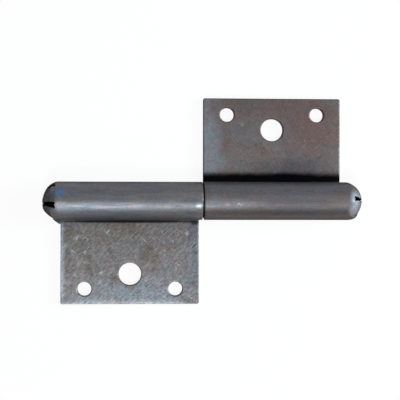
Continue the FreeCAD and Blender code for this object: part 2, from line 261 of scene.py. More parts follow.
@dataclass
class RolledLeaf:
    """One stamping of the hinge, modelled in its own frame and then put in place.

    In that frame X runs along the pin axis from the running face to the dome, Y towards
    the leaf's outer edge, and Z is 0 on the pin axis.
    """

    name: str
    half: Half
    setback: float
    leaf_length: float
    hole_middle: float
    screw_margin: float
    middle_margin: float
    notch_turn: float
    notch_depth: float
    notch_foot_width: float
    notch_tip_width: float
    closed_tip_width: float = 0.4
    closed_foot_width: float = 2.3
    web_length: float = 0.0
    sheet: float = 2.5
    bore_radius: float = 4.049
    knuckle_length: float = 54.71
    dome_height: float = 5.4
    dome_shoulder: float = 3.7
    petal_count: int = 5
    petal_tip_radius: float = 0.5
    shoulder_steps: int = 4
    crown_steps: int = 9
    leaf_side_push: float = 0.0
    far_side_push: float = 0.0
    push_place: float = 3.3  # from the dome's end
    push_band: float = 0.6
    push_reach: float = 3.0
    push_fade: int = 5
    tip_shift: float = 0.0
    tip_band: float = 0.2
    tip_reach: float = 4.5
    root_tail: float = 2.0
    leaf_reach: float = 35.795
    corner_radius: float = 0.6
    edge_roll: float = 0.4
    rim_roll: float = 0.35
    face_roll: float = 0.3
    arris: float = 0.12
    screw_hole_diameter: float = 4.9
    screw_hole_spacing: float = 31.5
    middle_hole_diameter: float = 7.8
    hole_sides: int = 80
    hole_border: float = 1.0
    web_reach: float = 8.1
    web_tip_reach: float = 6.5
    seam_turn: float = 306.0
    facet_turn: float = 6.0
    petal_arris: float = 0.08

    @property
    def barrel_radius(self) -> float:
        """Outer radius of the knuckle."""
        return self.bore_radius + self.sheet

    @property
    def dome_base(self) -> float:
        """Where the straight barrel ends, from the running face."""
        return self.knuckle_length - self.dome_height

    @property
    def notch_foot(self) -> float:
        """Where the notches between the petals end, from the running face."""
        return self.knuckle_length - self.notch_depth

    @property
    def leaf_end(self) -> float:
        """End of the leaf towards the dome, from the running face."""
        return self.setback + self.leaf_length

    @property
    def flat_from(self) -> float:
        """Where the leaf is flat for certain, from the pin axis and in metres."""
        return (self.root_tail + 0.5) * MM

    def build(self) -> Piece:
        """Make the stamping and put it in its place in the frame."""
        piece = self.lay_strip()
        self.draw_out_leaf(piece)
        if self.web_length:
            self.draw_out_web(piece)
        self.roll_knuckle(piece)
        self.raise_dome(piece)
        self.part_petals(piece)
        self.shape_petals(piece)
        self.give_thickness(piece)
        self.punch_holes(piece)
        self.round_edges(piece)
        soften(piece)
        self.put_in_place(piece)
        return piece

    def lay_strip(self) -> Piece:
        """Lay the flat strip that the roll and the leaf both start from."""
        length = self.dome_base * MM
        tail = self.root_tail * MM
        bpy.ops.mesh.primitive_plane_add(
            size=1.0, location=(length / 2, tail / 2, -self.barrel_radius * MM)
        )
        bpy.context.object.scale = (length, tail, 1.0)
        piece = take_new(self.name)
        open_mesh(piece)
        for station in (self.setback, self.leaf_end):
            if 0.0 < station < self.dome_base:
                slice_across((station * MM, 0, 0), (1, 0, 0))
        close_mesh()
        return piece

    def draw_out_leaf(self, piece: Piece) -> None:
        """Extrude the leaf from the outer edge of the strip and round its corners."""
        tail = self.root_tail * MM
        reach = self.leaf_reach * MM
        open_mesh(piece)
        select(
            Pick.EDGES,
            lambda edge: lies_at(edge, "y", tail)
            and self.setback * MM < middle_of(edge).x < self.leaf_end * MM,
        )
        extrude(y=reach - tail)
        select(Pick.VERTICES, lambda vertex: abs(vertex.co.y - reach) < NEAR)
        bpy.ops.mesh.bevel(offset=self.corner_radius * MM, segments=5, affect="VERTICES")
        close_mesh()

    def draw_out_web(self, piece: Piece) -> None:
        """Draw out the corner of sheet that runs on under the dome."""
        tail = self.root_tail * MM
        reach = self.web_reach * MM
        end = self.dome_base * MM
        open_mesh(piece)
        slice_across((0, reach, 0), (0, 1, 0))
        select(
            Pick.EDGES,
            lambda edge: lies_at(edge, "y", tail) and middle_of(edge).x > self.leaf_end * MM,
        )
        extrude(y=reach - tail)
        merge_doubles()
        select(Pick.EDGES, lambda edge: lies_at(edge, "x", end) and middle_of(edge).y > tail)
        extrude(x=(self.leaf_end + self.web_length) * MM - end)
        select(
            Pick.VERTICES, lambda vertex: vertex.co.x > end + NEAR and vertex.co.y > reach - NEAR
        )
        bpy.ops.transform.translate(value=(0, (self.web_tip_reach - self.web_reach) * MM, 0))
        close_mesh()

    def roll_knuckle(self, piece: Piece) -> None:
        """Spin the strip's inner edge round the pin axis, up to the seam."""
        open_mesh(piece)
        select(Pick.EDGES, lambda edge: lies_at(edge, "y", 0.0))
        bpy.ops.mesh.spin(
            steps=round(self.seam_turn / self.facet_turn), angle=math.radians(self.seam_turn),
            center=(0, 0, 0), axis=(1, 0, 0),
        )
        close_mesh()

    def dome_profile(self) -> list[tuple[float, float]]:
        """Stations of the dome from its base to the petal tips, one of them at the notches' foot.

        Returns:
            Pairs of the distance from the running face and the radius there.
        """
        drop = self.barrel_radius - self.dome_shoulder
        crown = (self.dome_height**2 + self.barrel_radius**2 - 2 * self.barrel_radius
                 * self.dome_shoulder) / (2 * (self.dome_height - self.dome_shoulder))
        crown_centre = self.knuckle_length - crown
        turn = math.atan2(drop, self.dome_base - crown_centre)
        tip = math.asin(self.petal_tip_radius / crown)
        half_pi = math.pi / 2
        steps = self.shoulder_steps
        shoulder = [half_pi + (turn - half_pi) * step / steps for step in range(steps + 1)]
        steps = self.crown_steps
        rest = [turn + (tip - turn) * step / steps for step in range(1, steps + 1)]
        stations = [self.dome_base + self.dome_shoulder * math.cos(angle) for angle in shoulder]
        stations += [crown_centre + crown * math.cos(angle) for angle in rest]
        near_foot = min(stations[1:-1], key=lambda x: abs(x - self.notch_foot))
        stations[stations.index(near_foot)] = self.notch_foot
        meeting = crown_centre + crown * math.cos(turn)
        profile = []
        for x in stations:
            if x <= meeting:
                radius = drop + math.sqrt(self.dome_shoulder**2 - (x - self.dome_base)**2)
            else:
                radius = math.sqrt(crown**2 - (x - crown_centre)**2)
            profile.append((x, radius))
        return profile

    def raise_dome(self, piece: Piece) -> None:
        """Raise the dome from a ring at the barrel's end, one drawn-in station after another."""
        stations = self.dome_profile()
        bpy.ops.mesh.primitive_circle_add(
            vertices=round(360 / self.facet_turn), radius=self.barrel_radius * MM,
            location=(self.dome_base * MM, 0, 0), rotation=(0, math.pi / 2, 0),
        )
        dome = bpy.context.object
        settle(dome)
        open_mesh(dome)
        bpy.ops.mesh.select_all(action="SELECT")
        for (last_x, last_r), (x, radius) in zip(stations, stations[1:]):
            extrude(x=(x - last_x) * MM)
            draw_in = radius / last_r
            bpy.ops.transform.resize(value=(1, draw_in, draw_in), center_override=(x * MM, 0, 0))
        close_mesh()
        activate(piece)
        dome.select_set(True)
        bpy.ops.object.join()
        open_mesh(piece)
        merge_doubles()
        bpy.ops.mesh.normals_make_consistent(inside=False)
        mesh = bmesh.from_edit_mesh(piece.data)
        crest = max(mesh.faces, key=lambda face: middle_of(face).z)
        if crest.normal.z < 0:
            bpy.ops.mesh.select_all(action="SELECT")
            bpy.ops.mesh.flip_normals()
        close_mesh()

    def notch_frame(self, number: float) -> tuple[Vector, Vector]:
        """Direction of a notch from the axis and across it, or of a petal's middle at a half."""
        turn = math.radians(self.notch_turn + number * 360 / self.petal_count)
        outward = Vector((0, math.sin(turn), math.cos(turn)))
        across = Vector((0, math.cos(turn), -math.sin(turn)))
        return outward, across

    def part_petals(self, piece: Piece) -> None:
        """Cut the tapered notches that part the dome into its petals."""
        foot = self.notch_foot * MM
        run = self.notch_depth * MM
        open_mesh(piece)
        for number in range(self.petal_count):
            outward, across = self.notch_frame(number)
            tip_width = self.closed_tip_width if number else self.notch_tip_width
            foot_width = self.closed_foot_width if number else self.notch_foot_width
            half_foot = foot_width / 2 * MM
            taper = (tip_width / 2 * MM - half_foot) / run

            def is_beside(face: object) -> bool:
                """Whether a face lies on the notch's side of the dome."""
                middle = middle_of(face)
                return middle.x > foot and middle.dot(outward) > 0

            for side in (1, -1):
                select(Pick.FACES, is_beside)
                start = Vector((foot, 0, 0)) + across * side * half_foot
                normal = (across * side - Vector((taper, 0, 0))).normalized()
                bpy.ops.mesh.bisect(plane_co=start, plane_no=normal, threshold=0.01 * MM)

            def is_in_notch(face: object) -> bool:
                """Whether a face lies inside the notch."""
                middle = middle_of(face)
                half_width = half_foot + taper * (middle.x - foot)
                return is_beside(face) and abs(middle.dot(across)) < half_width

            select(Pick.FACES, is_in_notch)
            bpy.ops.mesh.delete(type="FACE")
        merge_doubles(0.05 * MM)
        close_mesh()

    def shape_petals(self, piece: Piece) -> None:
        """Press the petals' shoulders along the axis and carry their tips to one side."""
        open_mesh(piece)
        shoulder = (self.knuckle_length - self.push_place) * MM
        for number in range(self.petal_count):
            outward, _ = self.notch_frame(number + 0.5)
            side_push = self.leaf_side_push if outward.y > 0 else self.far_side_push

            def is_shoulder(vertex: object) -> bool:
                """Whether a vertex lies in the middle of the petal's shoulder."""
                point = vertex.co
                radial = Vector((0, point.y, point.z)).normalized()
                near = abs(point.x - shoulder) < self.push_band * MM
                return near and radial.dot(outward) > 0.9

            if side_push and select(Pick.VERTICES, is_shoulder):
                push = side_push * abs(outward.y) ** self.push_fade
                drag(push, 0, self.push_reach, joined=True)
        if self.tip_shift:
            tips = (self.knuckle_length - self.tip_band) * MM
            select(Pick.VERTICES, lambda vertex: vertex.co.x > tips)
            drag(0, self.tip_shift, self.tip_reach, joined=False)
        close_mesh()

    def give_thickness(self, piece: Piece) -> None:
        """Thicken the sheet inwards from its outer side."""
        apply_modifier(
            piece, "SOLIDIFY", thickness=self.sheet * MM, offset=-1.0, use_even_offset=True,
            use_quality_normals=True, use_rim=True,
        )

    def punch_holes(self, piece: Piece) -> None:
        """Punch the screw holes and the middle hole through the leaf."""
        half_spacing = self.screw_hole_spacing / 2
        level = 0.3  # degrees between faces that are one flat side
        for offset, margin, diameter in (
            (-half_spacing, self.screw_margin, self.screw_hole_diameter),
            (half_spacing, self.screw_margin, self.screw_hole_diameter),
            (0.0, self.middle_margin, self.middle_hole_diameter),
        ):
            x = (self.hole_middle + offset) * MM
            y = (self.leaf_reach - margin) * MM
            bpy.ops.mesh.primitive_cylinder_add(
                vertices=self.hole_sides, radius=diameter / 2 * MM, depth=self.sheet * 3 * MM,
                location=(x, y, -self.barrel_radius * MM),
            )
            cut_out(piece, take_new("punch"))
        open_mesh(piece)
        select(Pick.FACES, self.is_flat_leaf)
        bpy.ops.mesh.dissolve_limited(angle_limit=math.radians(level))
        close_mesh()

    def is_flat_leaf(self, face: object) -> bool:
        """Whether a face lies flat on one of the leaf's two sides."""
        return abs(face.normal.z) > 0.9999 and middle_of(face).y > self.flat_from

    def round_edges(self, piece: Piece) -> None:
        """Round the sheared outline, the rims and the running face, then break the rest."""
        top = -self.bore_radius * MM
        border = self.hole_border
        end = (self.dome_base + 0.1) * MM

        def lies_on_top(edge: object) -> bool:
            """Whether an edge is a sharp one on the leaf's upper side."""
            past_root = middle_of(edge).y > self.root_tail * MM + NEAR
            return lies_at(edge, "z", top) and past_root and is_sharp(edge)

        def is_rim(edge: object) -> bool:
            """Whether an upper edge belongs to a hole."""
            x, y = middle_of(edge).xy / MM
            within = self.setback + border < x < self.leaf_end - border
            return lies_on_top(edge) and within and y < self.leaf_reach - border

        open_mesh(piece)
        rims = select(Pick.EDGES, is_rim)
        round_off(self.rim_roll, 3)
        outline = select(Pick.EDGES, lambda edge: lies_on_top(edge) and not is_rim(edge))
        round_off(self.edge_roll, 4)
        faces = select(Pick.EDGES, self.is_running_edge)
        round_off(self.face_roll, 3)
        merge_doubles(SLIVER)
        petals = select(Pick.EDGES, self.is_petal_side)
        round_off(self.petal_arris, 2, clamp=True)
        merge_doubles(SLIVER)
        under = select(Pick.EDGES, self.is_under_edge)
        round_off(self.arris, 2)
        rest = select(Pick.EDGES, lambda edge: is_sharp(edge, 50) and middle_of(edge).x < end)
        round_off(self.arris, 2, clamp=True)
        merge_doubles(SLIVER)
        if select(Pick.FACES, has_open_side):
            bpy.ops.mesh.delete(type="FACE")
        select(Pick.FACES, self.is_flat_leaf)
        bpy.ops.mesh.quads_convert_to_tris(ngon_method="BEAUTY")
        close_mesh()
        LOG.info(
            "%s: edges rounded: %d rim, %d outline, %d face, %d petal, %d under, %d other",
            self.name, rims, outline, faces, petals, under, rest,
        )

    def is_under_edge(self, edge: object) -> bool:
        """Whether an edge is a sharp one on the leaf's mounting side."""
        level = lies_at(edge, "z", -self.barrel_radius * MM)
        return level and middle_of(edge).y > self.flat_from and is_sharp(edge, 50)

    def is_running_edge(self, edge: object) -> bool:
        """Whether an edge is the outer edge of the knuckle's running face."""
        barrel = self.barrel_radius * MM
        on_barrel = all(abs(math.hypot(v.co.y, v.co.z) - barrel) < 0.02 * MM for v in edge.verts)
        return lies_at(edge, "x", 0.0) and on_barrel and is_sharp(edge)

    def is_petal_side(self, edge: object) -> bool:
        """Whether an edge is an outer edge of a petal, short of its tip."""
        tip_radius, lean, least_outward = 1.6 * MM, 0.6, 0.75
        middle = middle_of(edge)
        radius = math.hypot(middle.y, middle.z)
        if middle.x < (self.notch_foot - 0.05) * MM or radius < tip_radius:
            return False
        outward = Vector((lean * radius, middle.y, middle.z)).normalized()
        skin = max(face.normal.dot(outward) for face in edge.link_faces)
        return is_sharp(edge, 50) and skin > least_outward

    def put_in_place(self, piece: Piece) -> None:
        """Turn the stamping to its side and set it beside the washer."""
        side = -1 if self.half is Half.FIXED else 1
        piece.rotation_euler = (0, 0, math.radians(self.half.value))
        piece.location = (side * HALF_GAP * MM, 0, PIN_HEIGHT * MM)
        settle(piece)


@dataclass
class HingePin:
    """The pin, gripped in the fixed knuckle and free in the other."""

    name: str = "hinge_pin"
    grip_end: float = -HALF_GAP - 46.0
    step: float = -HALF_GAP
    step_length: float = 0.05
    free_end: float = HALF_GAP + 42.0
    grip_radius: float = 4.05
    running_radius: float = 4.0
    lead: float = 1.2
    foot_chamfer: float = 0.6

    def build(self) -> Piece:
        """Turn the pin, with its thicker grip and its two chamfered ends."""
        length = (self.free_end - self.grip_end) * MM
        bpy.ops.mesh.primitive_cylinder_add(
            vertices=TURNED_SIDES, radius=self.running_radius * MM, depth=length,
            location=((self.free_end + self.grip_end) / 2 * MM, 0, PIN_HEIGHT * MM),
            rotation=(0, math.pi / 2, 0),
        )
        piece = take_new(self.name)
        open_mesh(piece)
        for station in (self.step, self.step - self.step_length):
            slice_across((station * MM, 0, 0), (1, 0, 0))
        grip = (self.step - self.step_length / 2) * MM
        select(Pick.VERTICES, lambda vertex: vertex.co.x < grip)
        grow = self.grip_radius / self.running_radius
        bpy.ops.transform.resize(value=(1, grow, grow), center_override=(0, 0, PIN_HEIGHT * MM))
        for end, size in ((self.grip_end, self.foot_chamfer), (self.free_end, self.lead)):
            select(Pick.EDGES, lambda edge: lies_at(edge, "x", end * MM) and is_sharp(edge))
            round_off(size, 3, profile=0.4)
        close_mesh()
        soften(piece, 30.0)
        return piece


@dataclass
class ThrustWasher:
    """The thin washer between the two running faces."""

    name: str = "hinge_washer"
    inner_radius: float = 4.1
    outer_radius: float = 5.8
    thickness: float = 0.5
    arris: float = 0.08

    def build(self) -> Piece:
        """Stamp the washer from a ring and round its edges."""
        middle = (-self.thickness / 2 * MM, 0, PIN_HEIGHT * MM)
        bpy.ops.mesh.primitive_circle_add(
            vertices=TURNED_SIDES, radius=self.outer_radius * MM, location=middle,
            rotation=(0, math.pi / 2, 0),
        )
        piece = take_new(self.name)
        open_mesh(piece)
        bpy.ops.mesh.select_all(action="SELECT")
        shrink = self.inner_radius / self.outer_radius
        extrude()
        bpy.ops.transform.resize(value=(1, shrink, shrink), center_override=middle)
        bpy.ops.mesh.select_all(action="SELECT")
        extrude(x=self.thickness * MM)
        merge_doubles()
        bpy.ops.mesh.normals_make_consistent(inside=False)
        close_mesh()
        apply_modifier(
            piece, "BEVEL", width=self.arris * MM, segments=2, limit_method="ANGLE",
            angle_limit=math.radians(50),
        )
        soften(piece)
        return piece


class Board:
    """Node board of a material or a world, with short calls that add and wire its nodes."""

    def __init__(self, owner: bpy.types.Material | bpy.types.World) -> None:
        """Start an empty board for its owner."""
        owner.use_nodes = True
        self.tree = owner.node_tree
        self.tree.nodes.clear()

    @cached_property
    def place(self) -> Socket:
        """Place on the object that the patterns start from, in metres."""
        return self.add("TexCoord").outputs["Object"]

    def add(
        self, kind: str, feeds: dict[int | str, object] | None = None, **settings: object
    ) -> bpy.types.Node:
        """Add a node, set its properties, and wire or set its inputs.

        Args:
            kind: Blender's name for the node, without ShaderNode.
            feeds: A socket to wire or a value to set, for each input by number or name.
            **settings: Values for the node's properties.

        Returns:
            The node.
        """
        node = self.tree.nodes.new("ShaderNode" + kind)
        for name, value in settings.items():
            setattr(node, name, value)
        for key, value in (feeds or {}).items():
            if isinstance(value, Socket):
                self.tree.links.new(value, node.inputs[key])
            else:
                node.inputs[key].default_value = value
        return node

    def finish(self, output: str, shader: bpy.types.Node) -> None:
        """Wire the last shader to the board's output node."""
        self.add(output, {"Surface": shader.outputs[0]})

    def lay(
        self, turn: Triple = (0, 0, 0), stretch: Triple = (1, 1, 1), shift: Triple = (0, 0, 0)
    ) -> Socket:
        """Place in millimetres, turned in degrees, then stretched and shifted.

        Args:
            turn: Turn about X, Y and Z.
            stretch: Scale along X, Y and Z after the turn.
            shift: Offset along X, Y and Z after the rest.

        Returns:
            The vector that a texture reads.
        """
        angles = tuple(math.radians(angle) for angle in turn)
        feeds = {"Vector": self.place, "Rotation": angles, "Scale": (1 / MM, 1 / MM, 1 / MM)}
        turned = self.add("Mapping", feeds).outputs[0]
        feeds = {"Vector": turned, "Scale": stretch, "Location": shift}
        return self.add("Mapping", feeds).outputs[0]

    def noise(
        self, place: Socket, scale: float, detail: float = 4.0, rough: float = 0.55,
        warp: float = 0.0,
    ) -> Socket:
        """Fractal noise from 0 to 1, with its scale in turns for each millimetre."""
        return self.add("TexNoise", {
            "Vector": place, "Scale": scale, "Detail": detail, "Roughness": rough,
            "Distortion": warp,
        }).outputs[0]

    def span(
        self, value: object, low: float, high: float, start: float = 0.0, end: float = 1.0
    ) -> Socket:
        """Map a value between two limits to another range, smoothly and clamped."""
        feeds = dict(enumerate((value, low, high, start, end)))
        return self.add("MapRange", feeds, interpolation_type="SMOOTHSTEP").outputs[0]

    def math(self, operation: str, first: object, second: object) -> Socket:
        """Combine two values."""
        return self.add("Math", {0: first, 1: second}, operation=operation).outputs[0]

    def times(self, first: object, second: object) -> Socket:
        """Multiply two values."""
        return self.math("MULTIPLY", first, second)

    def between(self, amount: object, first: object, second: object) -> Socket:
        """Mix two values by an amount."""
        feeds = {0: amount, 2: first, 3: second}
        return self.add("Mix", feeds, data_type="FLOAT").outputs[0]

    def blend(self, amount: object, first: object, second: object, kind: str = "MIX") -> Socket:
        """Mix two colours by an amount."""
        first, second = (
            (*colour, 1.0) if isinstance(colour, tuple) else colour for colour in (first, second)
        )
        feeds = {0: amount, 6: first, 7: second}
        return self.add("Mix", feeds, data_type="RGBA", blend_type=kind).outputs[2]


@dataclass(frozen=True)
class Patch:
    """A stain, film or worn spot, or a painted highlight, reflection or shade: an ellipsoid in
    millimetres with a soft, uneven edge.
    """

    centre: Triple
    reach: Triple
    colour: Triple
    amount: float
    core: float = 0.55
    ragged: float = 0.2


@dataclass(frozen=True)
class SteelFinish:
    """Bare, slightly oily mill steel with stains, crossed grain and fine scratches, and with
    painted highlights, reflections and shade laid on in patches.
    """

    name: str
    steel: Triple = (0.205, 0.203, 0.208)
    stain: Triple = (0.150, 0.128, 0.112)
    film: Triple = (0.185, 0.215, 0.255)
    bright: Triple = (0.50, 0.50, 0.51)
    dark: Triple = (0.06, 0.058, 0.06)
    warm_tint: Triple = (1.04, 0.975, 0.97)
    cool_tint: Triple = (0.965, 1.01, 1.02)
    grazing: float = 0.05
    smooth: float = 0.46
    rough: float = 0.60
    seed: float = 0.0
    flat_below: float = 2.7
    rolled_above: float = 3.4
    clean_roll: float = 0.75
    stain_amount: float = 0.75
    film_amount: float = 0.6
    grain_depth: float = 0.30
    grain_tone: float = 0.12
    speck_amount: float = 0.35
    falling_share: float = 0.5
    scratch_amount: float = 0.8
    scattered: float = 1.0
    scratch_turns: tuple[float, ...] = (38.0, -47.0, 74.0)
    patches: tuple[Patch, ...] = ()
    scuffs: tuple[Patch, ...] = ()
    # Painted shade, laid last: dark bands in the root creases, the gap between the knuckles, the
    # domes' hollows and the notch tips.
    painted_shade: tuple[Patch, ...] = ()

    def make(self) -> bpy.types.Material:
        """Wire the finish from the patterns that its colour, gloss and relief share."""
        material = bpy.data.materials.new(self.name)
        board = Board(material)
        plain = board.lay(shift=self.shift)
        height = board.add("SeparateXYZ", {0: board.lay()})
        rolled = board.span(height.outputs[2], self.flat_below, self.rolled_above)
        flat = board.math("SUBTRACT", 1.0, board.times(rolled, self.clean_roll))
        blotch = board.noise(plain, 0.11, detail=6.0, rough=0.62, warp=0.6)
        grain = board.noise(plain, 1.4, detail=5.0, rough=0.7)
        drawn = board.noise(board.lay(stretch=(0.10, 1.1, 1.1), shift=self.shift), 1.0, rough=0.6)
        brushed = board.between(rolled, self.hatch(board), drawn)
        scratches = self.scratches(board, board.times(flat, self.scattered))

        colour = self.mottle(board, blotch, flat)
        colour = self.brighten(board, colour, brushed, board.times(flat, self.grain_depth))
        colour = self.brighten(board, colour, grain, self.grain_tone)
        pores = board.noise(plain, 0.75, detail=3.0, rough=0.6)
        specks = board.times(board.span(pores, 0.60, 0.72, 0.0, self.speck_amount), flat)
        colour = board.blend(specks, colour, self.dark)
        colour = board.blend(board.times(scratches, self.scratch_amount), colour, self.bright)
        # Painted shade over the finished colour, scratches included.
        colour = self.daub(board, colour, self.painted_shade, blotch)

        shader = board.add("BsdfPrincipled", {
            "Base Color": colour, "Metallic": 1.0,
            "Specular Tint": (self.grazing, self.grazing, self.grazing, 1.0),
            "Roughness": self.gloss(board, blotch, flat, brushed, scratches),
            "Normal": self.relief(board, plain, grain, scratches),
        })
        board.finish("OutputMaterial", shader)
        return material

    @property
    def shift(self) -> Triple:
        """Shift of the patterns, so that no two pieces show the same spots."""
        return self.seed, self.seed * 1.7, self.seed * 0.6

    def mottle(self, board: Board, blotch: Socket, flat: Socket) -> Socket:
        """Colour of the steel with its stains, its film, its patches of stain and painted light
        and shade, and its tints.
        """
        near, far, low = self.shift
        cloud = board.noise(board.lay(shift=(far, near, 3.0)), 0.035, detail=3.0)
        stained = board.times(board.span(blotch, 0.45, 0.62), self.stain_amount)
        filmed = board.times(board.span(cloud, 0.48, 0.66), self.film_amount)
        colour = board.blend(board.times(stained, flat), self.steel, self.stain)
        colour = board.blend(board.times(filmed, flat), colour, self.film)
        colour = self.daub(board, colour, self.patches, blotch)
        tinted = board.span(board.noise(board.lay(shift=(low, 9.0, 0)), 0.22), 0.4, 0.6)
        tint = board.blend(tinted, self.warm_tint, self.cool_tint)
        return board.blend(1.0, colour, tint, "MULTIPLY")

    def gloss(
        self, board: Board, blotch: Socket, flat: Socket, brushed: Socket, scratches: Socket
    ) -> Socket:
        """Roughness, uneven with the stains, streaked with the grain and less in scratches."""
        spread = (self.rough - self.smooth) / 2
        uneven = board.times(board.span(blotch, 0.35, 0.65, -1.0, 1.0), flat)
        roughness = board.math("ADD", board.times(uneven, spread), self.smooth + spread)
        roughness = board.math("ADD", roughness, board.span(brushed, 0.3, 0.7, 0.03, -0.03))
        return board.math("SUBTRACT", roughness, board.times(scratches, 0.10))

    def relief(self, board: Board, plain: Socket, grain: Socket, scratches: Socket) -> Socket:
        """Normal that the fine grain and scratches, and the sheet's slow waves, turn."""
        fine = board.times(board.math("SUBTRACT", grain, scratches), 0.5)
        waves = board.noise(plain, 0.07, detail=2.0)
        bump = board.add("Bump", {"Strength": 0.25, "Distance": 0.04 * MM, "Height": fine})
        feeds = {"Strength": 0.35, "Distance": 0.5 * MM, "Height": waves}
        return board.add("Bump", feeds | {"Normal": bump.outputs[0]}).outputs[0]

    def daub(
        self, board: Board, colour: Socket, patches: tuple[Patch, ...], ragged: Socket
    ) -> Socket:
        """Lay patches over a colour, one after another, with edges made uneven by a pattern."""
        for patch in patches:
            colour = board.blend(self.cover(board, patch, ragged), colour, patch.colour)
        return colour

    def brighten(self, board: Board, colour: Socket, value: Socket, depth: object) -> Socket:
        """Make a colour lighter and darker with a pattern, by up to a depth either way."""
        swing = board.times(board.span(value, 0.32, 0.68, -1.0, 1.0), depth)
        feeds = {"Color": colour, "Value": board.math("ADD", swing, 1.0)}
        return board.add("HueSaturation", feeds).outputs[0]

    def cover(self, board: Board, patch: Patch, ragged: Socket) -> Socket:
        """How much of a patch covers each point, its edge made uneven by a pattern."""
        away = board.lay()
        for operation, by in (("SUBTRACT", patch.centre), ("DIVIDE", patch.reach)):
            feeds = {0: away, 1: by}
            away = board.add("VectorMath", feeds, operation=operation).outputs[0]
        length = board.add("VectorMath", {0: away}, operation="LENGTH")
        uneven = board.span(ragged, 0.3, 0.7, -patch.ragged, patch.ragged)
        distance = board.math("ADD", length.outputs["Value"], uneven)
        return board.span(distance, patch.core, 1.0, patch.amount, 0.0)

    def hatch(self, board: Board) -> Socket:
        """Slanting brushed grain of the sheet, rising and falling strokes, from 0 to 1."""
        rising, falling = [
            board.noise(
                board.lay((0, 0, turn), (0.55, 1.8, 0.8), (self.seed, turn, 0)), 1.0,
                rough=0.7, warp=0.5,
            )
            for turn in (-40.0, 46.0)
        ]
        return board.between(self.falling_share, rising, falling)

    def scratches(self, board: Board, scattered: Socket) -> Socket:
        """Thin crossed scratches in the scuffed places and, scattered, in wide patches."""
        scuffed = 0.0
        ragged = board.noise(board.lay(), 0.3)
        for scuff in self.scuffs:
            scuffed = board.math("MAXIMUM", scuffed, self.cover(board, scuff, ragged))
        total = 0.0
        for number, turn in enumerate(self.scratch_turns):
            shift = (self.seed + 5.0 * number, 2.0 * number, 0)
            lines = board.noise(
                board.lay((0, 0, turn), (0.28, 3.6, 0.2), shift), 1.0, detail=2.0, rough=0.5,
                warp=0.15,
            )
            shift = (self.seed + 11.0 * number, 7.0, 0)
            patch = board.noise(board.lay(shift=shift), 0.09, detail=2.0)
            bunched = board.times(board.span(patch, 0.48, 0.66), scattered)
            wide = board.math("MAXIMUM", bunched, scuffed)
            raised = board.math("ADD", lines, board.times(scuffed, 0.08))
            fine = board.times(board.span(raised, 0.66, 0.74), wide)
            total = board.math("MAXIMUM", total, fine)
        return total


WHITE = (1, 1, 1)
# Near-black colour of the painted shade in creases, hollows and notch tips.
SHADE_BLACK = (0.006, 0.006, 0.007)
# In each patch: centre, reach, colour, amount, core and how ragged its edge is.
# Painted shade in the gap between the knuckles, on the running faces and the barrel ends beside
# it.
GAP_SHADE = Patch((0, 0, 6.55), (0.8, 9, 9), (0.008, 0.008, 0.01), 0.95, 0.45)
